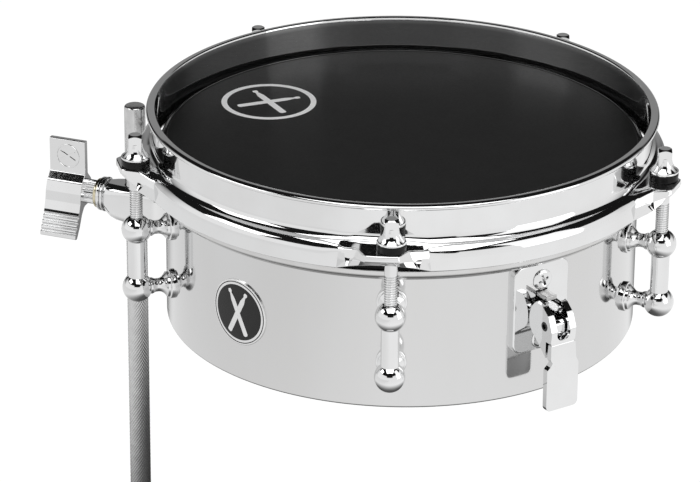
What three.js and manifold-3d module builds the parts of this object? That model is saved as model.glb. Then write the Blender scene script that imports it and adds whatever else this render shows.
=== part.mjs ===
// Small piccolo snare drum on a knurled mounting rod. Millimetres, +Z up.
// The origin is the centre of the rod's lower end face.
import * as THREE from 'three';
import { mergeVertices } from 'three/addons/utils/BufferGeometryUtils.js';
import Module from 'manifold-3d';

const wasm = await Module();
wasm.setup();

// ---- driving dimensions ----
const SHELL_R = 101.6;        // outside radius of the 8 inch shell
const SHELL_T = 1.2;          // sheet thickness
const SHELL_H = 78.9;         // height of the shell
const HEAD_Z = 79.7;          // top face of the drum head
const LIP_R = 109.6;          // outside radius of the counter hoop's lip
const LIP_Z = 94.06;          // top of the lip
const SKIRT_R = 113.3;        // outside radius of the hoop's skirt
const SKIRT_LOW = 66.9;       // lower edge of the skirt
const EAR_TOP = 78.0;         // top face of the hoop's ears
const EAR_R = 123.4;          // outer edge of the ears
const COLLAR_LOW = 81.4;      // underside of the tension rods' collars
const KEY_TOP = 92.0;         // top of their square heads
const LUG_COUNT = 5;
const LUG_START = 267.36;     // angle of the front lug about the drum axis
const TENSION_R = 116.7;      // radius of the circle of tension rods
const BALL_R = 6.45;
const BALL_HIGH = 48.65;
const BALL_LOW = 21.6;
const TUBE_R = 3.85;
const SCREW_R = 2.0;          // M4 screws
const BORE_R = 2.35;
const BADGE_ANGLE = 228.2;
const BADGE_Z = 31.2;
const BADGE_R = 14.5;
const STRAINER_ANGLE = 303.2;
const PIVOT_R = 115.0;        // lever pivot, measured from the drum axis
const PIVOT_Z = 36.8;
const MOUNT_ANGLE = 159.36;
const BOLT_Z = 30.2;          // height of the eyebolt above the shell's lower edge
const ROD_R = 4.75;           // 3/8 inch rod
const ROD_L = 229;
const ROD_AT = 125.2;         // rod axis, measured from the drum axis
const ROD_TOP = 75.0;         // rod's upper end above the shell's lower edge
const RINGS = 60;             // facets round the large rings

// the drum's axis and the shell's lower edge in the frame of the rod's lower end
const RAD = Math.PI / 180;
const CX = -ROD_AT * Math.cos(MOUNT_ANGLE * RAD);
const CY = -ROD_AT * Math.sin(MOUNT_ANGLE * RAD);
const CZ = ROD_L - ROD_TOP;

// ---- helpers ----
function closed(geometry) {
  const bare = geometry.index ? geometry.toNonIndexed() : geometry.clone();
  bare.deleteAttribute('normal');
  bare.deleteAttribute('uv');
  const g = mergeVertices(bare, 1e-3);
  const p = g.attributes.position.array;
  const old = g.index.array;
  const tris = [];
  let volume = 0;
  for (let i = 0; i < old.length; i += 3) {
    const [a, b, c] = [old[i], old[i + 1], old[i + 2]];
    if (a === b || b === c || a === c) continue;
    tris.push(a, b, c);
    const [A, B, C] = [a, b, c].map((k) => new THREE.Vector3(p[3 * k], p[3 * k + 1], p[3 * k + 2]));
    volume += A.dot(B.cross(C)) / 6;
  }
  if (volume < 0) {
    for (let i = 0; i < tris.length; i += 3) {
      [tris[i], tris[i + 1]] = [tris[i + 1], tris[i]];
    }
  }
  g.setIndex(tris);
  return g;
}

function solid(geometry) {
  const g = closed(geometry);
  const mesh = new wasm.Mesh({
    numProp: 3,
    vertProperties: new Float32Array(g.attributes.position.array),
    triVerts: new Uint32Array(g.index.array),
  });
  return new wasm.Manifold(mesh);
}

function shapeOf(manifold) {
  const mesh = manifold.getMesh();
  const g = new THREE.BufferGeometry();
  g.setAttribute('position', new THREE.BufferAttribute(new Float32Array(mesh.vertProperties), 3));
  g.setIndex(new THREE.BufferAttribute(new Uint32Array(mesh.triVerts), 1));
  return g;
}

// profile points are [radius, height]; the axis becomes z
function turnZ(points, segments) {
  const g = new THREE.LatheGeometry(points.map((p) => new THREE.Vector2(p[0], p[1])), segments);
  return g.rotateX(Math.PI / 2);
}

// the same with the axis along x (radially outwards)
function turnX(points, segments) {
  const g = new THREE.LatheGeometry(points.map((p) => new THREE.Vector2(p[0], p[1])), segments);
  return g.rotateZ(-Math.PI / 2);
}

// the same with the axis along y (tangential)
function turnY(points, segments) {
  return new THREE.LatheGeometry(points.map((p) => new THREE.Vector2(p[0], p[1])), segments);
}

function rodProfile(radius, low, high, chamfer = 0) {
  if (chamfer === 0) return [[0, low], [radius, low], [radius, high], [0, high]];
  return [[0, low], [radius - chamfer, low], [radius, low + chamfer],
    [radius, high - chamfer], [radius - chamfer, high], [0, high]];
}

function box(x0, x1, y0, y1, z0, z1) {
  const g = new THREE.BoxGeometry(x1 - x0, y1 - y0, z1 - z0);
  return g.translate((x0 + x1) / 2, (y0 + y1) / 2, (z0 + z1) / 2);
}

function flatShape(points) {
  return new THREE.Shape(points.map((p) => new THREE.Vector2(p[0], p[1])));
}

// outline in x and z, extruded along y
function slabXZ(points, y0, y1) {
  const g = new THREE.ExtrudeGeometry(flatShape(points), { depth: y1 - y0, bevelEnabled: false });
  return g.rotateX(Math.PI / 2).translate(0, y1, 0);
}

// outline in y and z, extruded along x
function slabYZ(points, x0, x1) {
  const g = new THREE.ExtrudeGeometry(flatShape(points), { depth: x1 - x0, bevelEnabled: false });
  const turn = new THREE.Matrix4().makeBasis(
    new THREE.Vector3(0, 1, 0), new THREE.Vector3(0, 0, 1), new THREE.Vector3(1, 0, 0));
  return g.applyMatrix4(turn).translate(x0, 0, 0);
}

// outline in x and y, extruded along z
function slabXY(points, z0, z1) {
  const g = new THREE.ExtrudeGeometry(flatShape(points), { depth: z1 - z0, bevelEnabled: false });
  return g.translate(0, 0, z0);
}

// six-sided block from two four-cornered faces
function block(low, high) {
  const g = new THREE.BufferGeometry();
  g.setAttribute('position', new THREE.Float32BufferAttribute([...low, ...high].flat(), 3));
  g.setIndex([0, 2, 1, 0, 3, 2, 4, 5, 6, 4, 6, 7, 0, 1, 5, 0, 5, 4,
    1, 2, 6, 1, 6, 5, 2, 3, 7, 2, 7, 6, 3, 0, 4, 3, 4, 7]);
  return g;
}

function roundedRect(y0, y1, z0, z1, r, steps = 3) {
  const out = [];
  const corners = [[y1 - r, z0 + r, -90], [y1 - r, z1 - r, 0], [y0 + r, z1 - r, 90], [y0 + r, z0 + r, 180]];
  for (const [cy, cz, start] of corners) {
    for (let i = 0; i <= steps; i += 1) {
      const a = (start + 90 * i / steps) * RAD;
      out.push([cy + r * Math.cos(a), cz + r * Math.sin(a)]);
    }
  }
  return out;
}

const SLOTS = {
  chrome: [0xd9dadc, 0.08, 1.0],
  steel: [0xb4b6b8, 0.35, 1.0],
  brass: [0xd8cfae, 0.3, 1.0],
  film: [0x1b1b1c, 0.45, 0.0],
  nylon: [0x0d0d0e, 0.4, 0.0],
  badge: [0x141414, 0.3, 0.2],
  alloy: [0xc6c8ca, 0.3, 1.0],
};

const group = new THREE.Group();

function put(name, geometry, slot, angle = null) {
  const [colour, roughness, metalness] = SLOTS[slot];
  const material = new THREE.MeshStandardMaterial({ color: colour, roughness, metalness });
  material.name = slot;
  const g = closed(geometry);
  if (angle !== null) g.rotateZ(angle * RAD);
  g.translate(CX, CY, CZ);
  g.computeVertexNormals();
  const mesh = new THREE.Mesh(g, material);
  mesh.name = name;
  group.add(mesh);
}

const lugAngles = Array.from({ length: LUG_COUNT }, (_, i) => (LUG_START + i * 360 / LUG_COUNT) % 360);

// ---- shell and head ----
function screwHole(angle, x0, x1, z, radius = BORE_R) {
  return solid(turnX(rodProfile(radius, x0, x1), 10).translate(0, 0, z).rotateZ(angle * RAD));
}

function shell() {
  const inner = SHELL_R - SHELL_T;
  const profile = [[SHELL_R, 1.1], [100.6, 0], [97.0, 0], [97.0, 1.2], [inner, 1.4],
    [inner, 77.6], [97.6, 77.7], [97.6, SHELL_H], [100.6, SHELL_H], [SHELL_R, 77.8], [SHELL_R, 1.1]];
  let out = solid(turnZ(profile, RINGS));
  for (const angle of lugAngles) {
    out = out.subtract(screwHole(angle, 95, 105, BALL_HIGH));
    out = out.subtract(screwHole(angle, 95, 105, BALL_LOW));
  }
  for (const z of [52.3, 25.7]) out = out.subtract(screwHole(STRAINER_ANGLE, 95, 105, z));
  for (const z of [24.0, 34.0]) out = out.subtract(screwHole(MOUNT_ANGLE, 95, 105, z));
  const slot = box(95, 105, -6.4, 6.4, 41.2, 48.0).rotateZ(STRAINER_ANGLE * RAD);
  return shapeOf(out.subtract(solid(slot)));
}

function drumHead() {
  const profile = [[0, HEAD_Z], [100.9, HEAD_Z], [102.5, 78.2], [102.5, 69.7], [106.2, 69.7],
    [106.2, 69.1], [101.9, 69.1], [101.9, 78.0], [100.7, 79.2], [0, 79.2]];
  return turnZ(profile, RINGS);
}

function fleshHoop() {
  const profile = [[107.3, 60.3], [108.6, 61.6], [108.6, 71.0], [107.8, 71.9], [103.0, 71.9],
    [103.0, 70.0], [106.6, 70.0], [106.6, 68.8], [103.0, 68.8], [103.0, 60.3], [107.3, 60.3]];
  return turnZ(profile, RINGS);
}

function counterHoop() {
  const profile = [[104.9, 77.4], [106.0, 93.0], [106.9, LIP_Z], [108.8, LIP_Z], [LIP_R, 92.9],
    [109.1, 91.7], [107.9, 90.6], [107.1, 79.9], [SKIRT_R, 74.9],
    [113.1, SKIRT_LOW], [110.9, SKIRT_LOW], [111.1, 72.9], [104.9, 77.4]];
  let out = solid(turnZ(profile, RINGS));
  for (const angle of lugAngles) {
    const outer = solid(block(
      [[109.3, -17.2, 67.2], [EAR_R, -9.2, 74.4], [EAR_R, 9.2, 74.4], [109.3, 17.2, 67.2]],
      [[109.3, -14.0, EAR_TOP], [EAR_R, -8.6, EAR_TOP], [EAR_R, 8.6, EAR_TOP], [109.3, 14.0, EAR_TOP]],
    ).rotateZ(angle * RAD));
    const roof = EAR_TOP - 2;
    const hollow = solid(block(
      [[108.8, -14.6, 60], [EAR_R - 1.6, -7.6, 60], [EAR_R - 1.6, 7.6, 60], [108.8, 14.6, 60]],
      [[108.8, -12.2, roof], [EAR_R - 1.6, -7.0, roof], [EAR_R - 1.6, 7.0, roof], [108.8, 12.2, roof]],
    ).rotateZ(angle * RAD));
    out = out.add(outer.subtract(hollow));
    const hole = turnZ(rodProfile(3.3, 60, 79.5), 16).translate(TENSION_R, 0, 0).rotateZ(angle * RAD);
    out = out.subtract(solid(hole));
  }
  return shapeOf(out);
}

// ---- lugs and tension rods ----
function lug() {
  const ball = [[3.45, 111.25]];
  for (const a of [55, 80, 105, 130, 155]) {
    ball.push([BALL_R * Math.sin(a * RAD), TENSION_R - BALL_R * Math.cos(a * RAD)]);
  }
  const profile = [[0, 102.0], [6.6, 102.0], [6.6, 103.0], [3.7, 104.8], [2.8, 107.2],
    ...ball, [0, TENSION_R + BALL_R]];
  const post = turnX(profile, 14);
  let out = solid(post.clone().translate(0, 0, BALL_HIGH));
  out = out.add(solid(post.clone().translate(0, 0, BALL_LOW)));
  out = out.add(solid(turnZ(rodProfile(TUBE_R, BALL_LOW, BALL_HIGH), 14).translate(TENSION_R, 0, 0)));
  out = out.subtract(solid(turnZ(rodProfile(3.15, 34, 60), 12).translate(TENSION_R, 0, 0)));
  for (const z of [BALL_HIGH, BALL_LOW]) {
    out = out.subtract(solid(turnX(rodProfile(BORE_R, 100, 109.6), 10).translate(0, 0, z)));
  }
  return shapeOf(out);
}

function tensionRod(angle) {
  const profile = [[0, 36], [2.75, 36.4], [2.75, COLLAR_LOW], [6.1, COLLAR_LOW], [6.1, COLLAR_LOW + 0.8],
    [4.2, COLLAR_LOW + 2.9], [0, COLLAR_LOW + 2.9]];
  const square = box(-2.85, 2.85, -2.85, 2.85, COLLAR_LOW + 2, KEY_TOP).rotateZ(-angle * RAD);
  const out = solid(turnZ(profile, 16)).add(solid(square));
  return shapeOf(out).translate(TENSION_R, 0, 0);
}

function nylonWasher() {
  const low = EAR_TOP + 0.1;
  const high = COLLAR_LOW - 0.2;
  const profile = [[3.1, low], [6.0, low], [6.0, high], [3.1, high], [3.1, low]];
  return turnZ(profile, 16).translate(TENSION_R, 0, 0);
}

// pan-head screw from inside the shell, threaded outwards
function insideScrew(z, tip = 108.8) {
  const profile = [[0, 97.2], [2.4, 97.2], [3.9, 98.5], [3.9, 99.9], [SCREW_R, 99.9],
    [SCREW_R, tip], [0, tip]];
  return turnX(profile, 12).translate(0, 0, z);
}

// ---- badge ----
function badge() {
  const ring = turnZ([[101.9, -20], [102.7, -20], [102.7, 20], [101.9, 20], [101.9, -20]], RINGS);
  const cut = turnX(rodProfile(BADGE_R, 90, 110), 32).rotateZ(BADGE_ANGLE * RAD);
  return shapeOf(solid(ring).intersect(solid(cut))).translate(0, 0, BADGE_Z);
}

// ---- strainer, lever and snares ----
function strainerPlate() {
  const outline = roundedRect(-13.6, 13.6, 20.8, 59.8, 4.5);
  let out = solid(slabYZ(outline, 100, 103.9));
  out = out.subtract(solid(turnZ(rodProfile(101.95, 0, 90), RINGS)
    .rotateZ(-STRAINER_ANGLE * RAD)));
  const nose = slabXZ([[103, 32.4], [117.4, 32.4], [118.4, 34], [118.4, 39.2], [116.8, 41.0], [103, 41.0]],
    -2.6, 2.6);
  out = out.add(solid(nose));
  out = out.subtract(solid(turnY(rodProfile(1.75, -5, 5), 14).translate(PIVOT_R, 0, PIVOT_Z)));
  out = out.subtract(solid(box(98, 106, -6.4, 6.4, 41.2, 48.0)));
  for (const z of [52.3, 25.7]) {
    out = out.subtract(solid(turnX(rodProfile(BORE_R, 98, 106), 12).translate(0, 0, z)));
  }
  return shapeOf(out);
}

function strainerScrew(z) {
  const profile = [[0, 97.4], [1.5, 97.4], [SCREW_R, 97.9], [SCREW_R, 104.2], [4.2, 104.2], [4.2, 105.0],
    [3.4, 106.0], [1.6, 106.4], [0, 106.4]];
  return turnX(profile, 18).translate(0, 0, z);
}

function lever() {
  const reach = 10.7;
  const arc = [180, 165, 150, 138, 126].map((a) => [
    PIVOT_R + reach * Math.cos(a * RAD), PIVOT_Z + reach * Math.sin(a * RAD)]);
  const side = [...arc, [110.6, 45.3], [113.0, 45.0], [115.2, 43.8], [117.4, 41.6], [119.9, 39.4], [121.6, 36],
    [122.9, 32.4], [122.9, 30.2], [121.4, 28.0], [120.4, 25.6], [118.0, 22.6], [116.8, 22.6], [112.2, 26.9],
    [106.6, 31.0], [104.7, 33.6]];
  let out = solid(slabXZ(side, -6.1, 6.1));
  const tongue = [[118.0, 20.6], [118.0, 1.4], [118.8, 0.3], [119.8, 0.3], [120.4, 1.0], [120.4, 25.8], [118.9, 25.8],
    [117.0, 23.4]];
  const plan = solid(slabYZ(roundedRect(-7.9, 7.9, 0.3, 26, 2.4), 110, 130));
  out = out.add(solid(slabXZ(tongue, -7.9, 7.9)).intersect(plan));
  out = out.subtract(solid(slabXZ([[100, 31.2], [130, 31.2], [130, 50], [100, 50]], -2.9, 2.9)));
  out = out.subtract(solid(slabXZ([[100, 20], [113.6, 20], [113.6, 32], [100, 32]], -2.9, 2.9)));
  out = out.subtract(solid(turnY(rodProfile(1.75, -9, 9), 14).translate(PIVOT_R, 0, PIVOT_Z)));
  return shapeOf(out);
}

function pivotPin() {
  return turnY([[0, -6.3], [1.0, -6.3], [1.5, -5.9], [1.5, 5.9], [1.0, 6.3], [0, 6.3]], 14)
    .translate(PIVOT_R, 0, PIVOT_Z);
}

function slideGuide() {
  let out = solid(box(97.2, 99.2, -13, 13, 20, 60));
  out = out.add(solid(box(93.2, 98, -13, -8.5, 30, 60)));
  out = out.add(solid(box(93.2, 98, 8.5, 13, 30, 60)));
  out = out.subtract(solid(box(92, 101, -6.4, 6.4, 41.2, 48.0)));
  for (const z of [52.3, 25.7]) {
    out = out.subtract(solid(turnX(rodProfile(BORE_R, 95, 101), 12).translate(0, 0, z)));
  }
  return shapeOf(out);
}

function snareSlide() {
  let out = solid(box(94.5, 96.9, -8.1, 8.1, 36, 74));
  out = out.add(solid(box(96, 111.4, -6, 6, 45.6, 47.6)));
  for (const z of [58, 66]) {
    out = out.subtract(solid(turnX(rodProfile(2.0, 92, 99), 12).translate(0, 0, z)));
  }
  return shapeOf(out);
}

function snareArm() {
  let out = solid(box(92.3, 94.2, -8.1, 8.1, 53, 76.9));
  out = out.add(solid(box(-60, 94.2, -8.1, 8.1, 75.4, 76.9)));
  for (const x of [-60, 52]) out = out.add(solid(box(x, x + 8, -18, 18, 75.4, 76.9)));
  for (const z of [58, 66]) {
    out = out.subtract(solid(turnX(rodProfile(2.0, 90, 96), 12).translate(0, 0, z)));
  }
  return shapeOf(out);
}

function armScrew(z) {
  const profile = [[0, 90.0], [1.9, 90.0], [3.2, 90.7], [3.2, 92.0], [1.6, 92.0], [1.6, 96.6], [0, 96.6]];
  return turnX(profile, 14).translate(0, 0, z);
}

function snareWires() {
  let out = solid(box(-60, -54, -17.5, 17.5, 77.2, 78.0));
  out = out.add(solid(box(54, 60, -17.5, 17.5, 77.2, 78.0)));
  for (let i = 0; i < 12; i += 1) {
    const y = -16.5 + 3 * i;
    out = out.add(solid(box(-58, 58, y - 0.8, y + 0.8, 77.3, 78.8)));
  }
  return shapeOf(out);
}

// ---- rod, bracket, eyebolt and wing nut ----
function mountRod() {
  const low = -CZ;
  const profile = [[0, low], [4.15, low], [ROD_R, low + 0.6], [ROD_R, ROD_TOP - 1.2], [4.3, ROD_TOP - 0.35],
    [3.4, ROD_TOP], [0, ROD_TOP]];
  return turnZ(profile, 28).translate(ROD_AT, 0, 0);
}

function mountBracket() {
  const side = [[112, 20.4], [130, 20.4], [134, 21.0], [137, 22.3], [139.2, 24.4], [141.4, 25.4],
    [141.4, 35.6], [139.6, 37.0], [112, 37.0]];
  let out = solid(slabXZ(side, -8.0, 8.0));
  out = out.add(solid(box(100, 113, -5.5, 5.5, 20.4, 37.0)));
  out = out.add(solid(turnX(rodProfile(7.6, 138.6, 141.5), 24).translate(0, 0, BOLT_Z)));
  out = out.add(solid(slabYZ(roundedRect(-10, 10, 17.5, 41.5, 3), 100, 104.2)));
  out = out.subtract(solid(turnZ(rodProfile(101.95, -5, 90), RINGS).rotateZ(-MOUNT_ANGLE * RAD)));
  out = out.subtract(solid(turnZ(rodProfile(5.1, 0, 60), 24).translate(ROD_AT, 0, 0)));
  out = out.subtract(solid(box(117.2, 133.2, -9.5, 7.45, 26.3, 34.1)));
  out = out.subtract(solid(turnX(rodProfile(3.35, 130, 145), 18).translate(0, 0, BOLT_Z)));
  for (const z of [24.0, 34.0]) {
    out = out.subtract(solid(turnX(rodProfile(BORE_R, 99, 109.6), 12).translate(0, 0, z)));
  }
  return shapeOf(out);
}

function eyebolt() {
  const low = BOLT_Z - 3.6;
  const high = BOLT_Z + 3.6;
  const eye = [[5.05, low], [6.7, low], [7.15, low + 0.7], [7.15, high - 0.7], [6.7, high], [5.05, high], [5.05, low]];
  let out = solid(turnZ(eye, 28).translate(ROD_AT, 0, 0));
  const shank = turnX([[0, 130.8], [3.0, 130.8], [3.0, 160.2], [2.3, 161], [0, 161]], 18).translate(0, 0, BOLT_Z);
  out = out.add(solid(shank));
  return shapeOf(out);
}

function ringWasher(x0, x1, radius) {
  const profile = [[3.35, x0], [radius - 0.5, x0], [radius, x0 + 0.5], [radius, x1 - 0.5], [radius - 0.5, x1],
    [3.35, x1], [3.35, x0]];
  return turnX(profile, 24).translate(0, 0, BOLT_Z);
}

function wingNut() {
  const z = BOLT_Z;
  const section = [[1.4, z + 23.8], [1.4, z + 8.6], [4.6, z + 4.6], [6.5, z + 0.6], [7.2, z - 3.2], [8.6, z - 8.4],
    [10.8, z - 13.4], [13.6, z - 17.8], [11.4, z - 19.2], [8.0, z - 14.6], [5.6, z - 9.6], [3.4, z - 6.6],
    [-2.4, z - 6.2], [-5.6, z - 3.2], [-6.2, z + 0.8], [-4.6, z + 4.8], [-1.4, z + 8.0], [-1.4, z + 23.8]];
  let out = solid(slabYZ(section, 149.2, 166.4));
  out = out.add(solid(turnX(rodProfile(5.1, 147.4, 152), 20).translate(0, 0, z)));
  out = out.subtract(solid(turnX(rodProfile(3.35, 146, 163), 18).translate(0, 0, z)));
  return shapeOf(out);
}

// ---- assembly ----
put('mount_rod', mountRod(), 'steel', MOUNT_ANGLE);
put('shell', shell(), 'chrome');
put('drum_head', drumHead(), 'film');
put('flesh_hoop', fleshHoop(), 'alloy');
put('counter_hoop', counterHoop(), 'chrome');
lugAngles.forEach((angle, i) => {
  put(`lug_${i + 1}`, lug(), 'chrome', angle);
  put(`tension_rod_${i + 1}`, tensionRod(angle), 'chrome', angle);
  put(`nylon_washer_${i + 1}`, nylonWasher(), 'nylon', angle);
  put(`lug_screw_upper_${i + 1}`, insideScrew(BALL_HIGH), 'steel', angle);
  put(`lug_screw_lower_${i + 1}`, insideScrew(BALL_LOW), 'steel', angle);
});
put('badge', badge(), 'badge');
put('strainer_plate', strainerPlate(), 'chrome', STRAINER_ANGLE);
put('strainer_screw_upper', strainerScrew(52.3), 'chrome', STRAINER_ANGLE);
put('strainer_screw_lower', strainerScrew(25.7), 'chrome', STRAINER_ANGLE);
put('throw_off_lever', lever(), 'chrome', STRAINER_ANGLE);
put('pivot_pin', pivotPin(), 'steel', STRAINER_ANGLE);
put('slide_guide', slideGuide(), 'steel', STRAINER_ANGLE);
put('snare_slide', snareSlide(), 'steel', STRAINER_ANGLE);
put('snare_arm', snareArm(), 'steel', STRAINER_ANGLE);
put('arm_screw_upper', armScrew(66), 'steel', STRAINER_ANGLE);
put('arm_screw_lower', armScrew(58), 'steel', STRAINER_ANGLE);
put('snare_wires', snareWires(), 'steel', STRAINER_ANGLE);
put('mount_bracket', mountBracket(), 'chrome', MOUNT_ANGLE);
put('bracket_screw_upper', insideScrew(34.0), 'steel', MOUNT_ANGLE);
put('bracket_screw_lower', insideScrew(24.0), 'steel', MOUNT_ANGLE);
put('eyebolt', eyebolt(), 'steel', MOUNT_ANGLE);
put('plain_washer', ringWasher(141.8, 144.3, 8.0), 'chrome', MOUNT_ANGLE);
put('brass_washer', ringWasher(144.6, 147.1, 7.0), 'brass', MOUNT_ANGLE);
put('wing_nut', wingNut(), 'chrome', MOUNT_ANGLE);

export default group;
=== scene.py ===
"""Looks of a small chrome snare drum on a knurled mounting rod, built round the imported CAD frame.

Most pieces are drawn in millimetres on their own spoke of the drum: x runs outwards from the
drum's axis, y along the tangent and z up from the shell's lower edge. spoke(angle) puts that
drawing into the row frame, in metres.
"""
import math

import bmesh
import bpy
from mathutils import Matrix, Vector


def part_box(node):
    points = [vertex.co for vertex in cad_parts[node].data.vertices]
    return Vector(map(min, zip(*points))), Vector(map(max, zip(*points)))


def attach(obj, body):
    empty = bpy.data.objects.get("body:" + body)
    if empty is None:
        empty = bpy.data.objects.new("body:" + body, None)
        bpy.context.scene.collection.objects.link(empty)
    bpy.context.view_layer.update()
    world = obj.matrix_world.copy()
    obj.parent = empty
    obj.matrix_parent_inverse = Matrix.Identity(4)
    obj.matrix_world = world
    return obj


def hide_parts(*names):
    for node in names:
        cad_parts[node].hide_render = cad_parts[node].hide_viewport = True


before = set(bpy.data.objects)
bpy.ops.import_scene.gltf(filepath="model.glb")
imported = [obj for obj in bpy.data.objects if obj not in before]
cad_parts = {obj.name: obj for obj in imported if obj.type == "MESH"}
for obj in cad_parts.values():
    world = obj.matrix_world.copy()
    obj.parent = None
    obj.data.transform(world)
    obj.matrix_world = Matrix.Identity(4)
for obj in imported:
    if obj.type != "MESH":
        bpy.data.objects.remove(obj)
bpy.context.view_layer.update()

# ---- places, from the frame ----
MM = 0.001
TAU = 2 * math.pi
shell_low, shell_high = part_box("shell")
AXIS = Vector(((shell_low.x + shell_high.x) / 2, (shell_low.y + shell_high.y) / 2, shell_low.z))


def bearing(node):
    """Angle of a CAD node about the drum's axis, in radians."""
    low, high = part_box(node)
    middle = (low + high) / 2 - AXIS
    return math.atan2(middle.y, middle.x)


def spoke(angle):
    """From a drawing in millimetres on the spoke at this angle to the row frame."""
    return Matrix.Translation(AXIS) @ Matrix.Rotation(angle, 4, "Z") @ Matrix.Scale(MM, 4)


LUGS = range(1, 6)
LUG_AT = {i: bearing(f"tension_rod_{i}") for i in LUGS}
STRAINER_AT = bearing("pivot_pin")
MOUNT_AT = bearing("mount_rod")
BADGE_AT = bearing("badge")

# ---- sizes in millimetres ----
SHELL_R = 101.6  # outside radius of the 8 inch shell
SHELL_SHEET = 1.2
SHELL_H = 78.9  # height of the shell, bearing edge included
HEAD_Z = 79.7  # top face of the film
LIP_R = 109.4  # outside radius of the hoop's lip
LIP_Z = 94.06  # top of the lip
CROWN_R = 4.5  # arc over the lip
WALL_TOP = 107.4  # outside radius of the hoop's wall under the lip
WALL_FOOT = 107.1  # and at its foot
FOOT_Z = 78.3
FOLD_Z = 76.16  # where the flange turns down into the skirt
SKIRT_R = 113.3
SKIRT_LOW = 66.9  # lower edge of the skirt
HOOP_SHEET = 1.8
FILLET_CUT = 3.0  # how far the arc at the wall's foot reaches along both sides
ROLL_CUT = 3.6  # the same at the fold
EAR_TOP = 78.0  # top face of the ears
EAR_R = 123.4  # outer edge of the ears
EAR_ROOT_R = 116.8
EAR_CORNER = (118.7, 14.1, 71.0)  # low corner where an ear's side meets the skirt
EAR_END = 9.2  # degrees from the ear's middle to the plain skirt
EAR_TWIST = math.radians(-1.65)  # the ears sit this far round the drum from the rods
TENSION_R = 116.7  # radius of the circle of tension rods
SCREW_R = 2.75
THREAD_PITCH = 1.0583  # 24 threads to the inch
THREAD_DEPTH = 0.6
COLLAR_LOW = 81.4  # underside of the rods' collars
COLLAR_R = 6.1
COLLAR_RIM = 1.05  # height of the collar's straight rim
KEY_HALF = 2.85  # half width of the square heads
KEY_TOP = 92.0
BALL_R = 6.45  # balls of the lugs
BALL_HIGH = 48.65
BALL_LOW = 21.6
TUBE_R = 3.85
BADGE_R = 14.5
BADGE_Z = 31.2
PIVOT_R = 115.0  # the lever's pivot
PIVOT_Z = 36.8
PIVOT_BORE = 1.75
SLIDE_HALF = 2.6  # half width of the slide's foot
SLOT_ROOM = 0.4
SLOT_LOW, SLOT_HIGH = 41.2, 48.0  # slot that the foot passes through
ROD_R = 4.75  # 3/8 inch mounting rod
ROD_AT = 125.2  # its axis, from the drum's axis
ROD_TOP = 75.0
BOLT_Z = 30.2  # height of the eyebolt and the wing nut
WING_LOW, WING_HIGH = 149.2, 166.4  # the wings' two side faces
EMBLEM_AT = (157.6, 0, BOLT_Z + 16.0)


# ---- drawing ----
SAME_POINT = 1e-5
NEARLY_STRAIGHT = 1.565  # half of a corner's angle, in radians


def draw(verts, faces):
    """Closed mesh with its faces turned outwards."""
    mesh = bpy.data.meshes.new("part")
    mesh.from_pydata([tuple(v) for v in verts], [], faces)
    obj = bpy.data.objects.new("part", mesh)
    bpy.context.scene.collection.objects.link(obj)
    face_outwards(obj, SAME_POINT)
    return obj


def face_outwards(obj, merge=0):
    """Turns the faces outwards, after joining points that are closer together than merge."""
    bm = bmesh.new()
    bm.from_mesh(obj.data)
    if merge:
        bmesh.ops.remove_doubles(bm, verts=bm.verts, dist=merge)
    bmesh.ops.recalc_face_normals(bm, faces=bm.faces)
    bm.to_mesh(obj.data)
    bm.free()


def settle(obj):
    """Applies the modifiers of obj."""
    bpy.context.view_layer.update()
    graph = bpy.context.evaluated_depsgraph_get()
    mesh = bpy.data.meshes.new_from_object(obj.evaluated_get(graph))
    obj.modifiers.clear()
    obj.data = mesh
    return obj


def combine(base, tool, operation):
    """base with tool added or cut away; tool is used up."""
    mod = base.modifiers.new("combine", "BOOLEAN")
    mod.operation = operation
    mod.solver = "EXACT"
    mod.object = tool
    settle(base)
    bpy.data.objects.remove(tool)
    return base


def add(base, *tools):
    """base joined with every tool."""
    for tool in tools:
        combine(base, tool, "UNION")
    return base


def cut(base, *tools):
    """base with every tool cut away."""
    for tool in tools:
        combine(base, tool, "DIFFERENCE")
    return base


def bevel(obj, width, segments=3, limit=30):
    """Rounds the edges that are sharper than limit degrees."""
    mod = obj.modifiers.new("bevel", "BEVEL")
    mod.width = width
    mod.segments = segments
    mod.limit_method = "ANGLE"
    mod.angle_limit = math.radians(limit)
    return settle(obj)


def corner_arc(before, corner, after, reach, steps):
    """Points of the circular arc that leaves both sides of a corner at distance reach from it."""
    u, v = (before - corner).normalized(), (after - corner).normalized()
    weight = math.sin(u.angle(v) / 2)
    first, last = corner + u * reach, corner + v * reach
    points = []
    for k in range(steps + 1):
        t = k / steps
        a, b, c = (1 - t) ** 2, 2 * weight * t * (1 - t), t * t
        points.append((first * a + corner * b + last * c) / (a + b + c))
    return points


def rounded(corners, steps=4, closed=True):
    """Outline through corners (a, b) or (a, b, radius), with an arc at each corner that has a radius."""
    points = []
    count = len(corners)
    for i, corner in enumerate(corners):
        here = Vector(corner[:2])
        radius = corner[2] if len(corner) > 2 else 0
        before, after = Vector(corners[i - 1][:2]), Vector(corners[(i + 1) % count][:2])
        half = (before - here).angle(after - here) / 2
        if radius == 0 or half > NEARLY_STRAIGHT or (not closed and i in (0, count - 1)):
            points.append(tuple(here))
            continue
        room = 0.49 * min((before - here).length, (after - here).length)
        reach = min(radius / math.tan(half), room)
        points += [tuple(p) for p in corner_arc(before, here, after, reach, steps)]
    return points


def arc(centre, radius, start, end, steps):
    """Points on an arc, from angle start to angle end in degrees."""
    turns = [math.radians(start + (end - start) * k / steps) for k in range(steps + 1)]
    return [(centre[0] + radius * math.cos(a), centre[1] + radius * math.sin(a)) for a in turns]


def aim(points, about):
    """Points drawn about z, turned so that their axis is x, y or z."""
    if about == "x":
        return [(z, x, y) for x, y, z in points]
    if about == "y":
        return [(y, z, x) for x, y, z in points]
    return list(points)


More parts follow.
